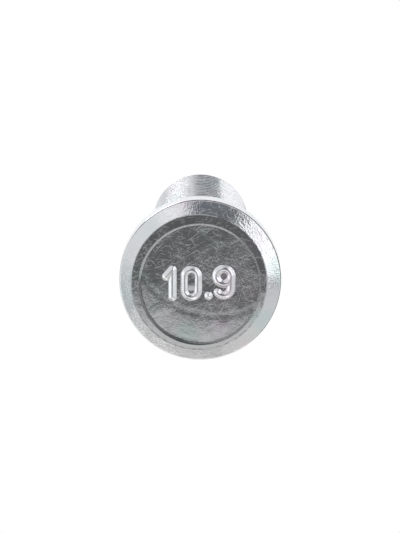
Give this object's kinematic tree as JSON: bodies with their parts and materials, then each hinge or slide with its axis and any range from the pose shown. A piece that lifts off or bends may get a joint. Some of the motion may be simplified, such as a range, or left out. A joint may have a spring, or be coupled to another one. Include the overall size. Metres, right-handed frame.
{
  "type": "wheel stud",
  "caption": "Press-in wheel stud: round head with a chamfered, recessed face, splined shoulder and threaded shank, in zinc-plated steel.",
  "frame": {"origin": "centre of the flat ring round the head's face, which the stud stands on", "axes": "+Z along the stud's axis, from the head to the threaded end; X and Y are free, because the stud is round"},
  "size_m": [0.019, 0.019, 0.0525],
  "materials": {
    "zinc_steel": "bright zinc plating with a thin pale blue, pink and green passivation film, lightly scratched from handling"
  },
  "bodies": {
    "root": {"wheel_stud": "zinc_steel"}
  },
  "joints": []
}
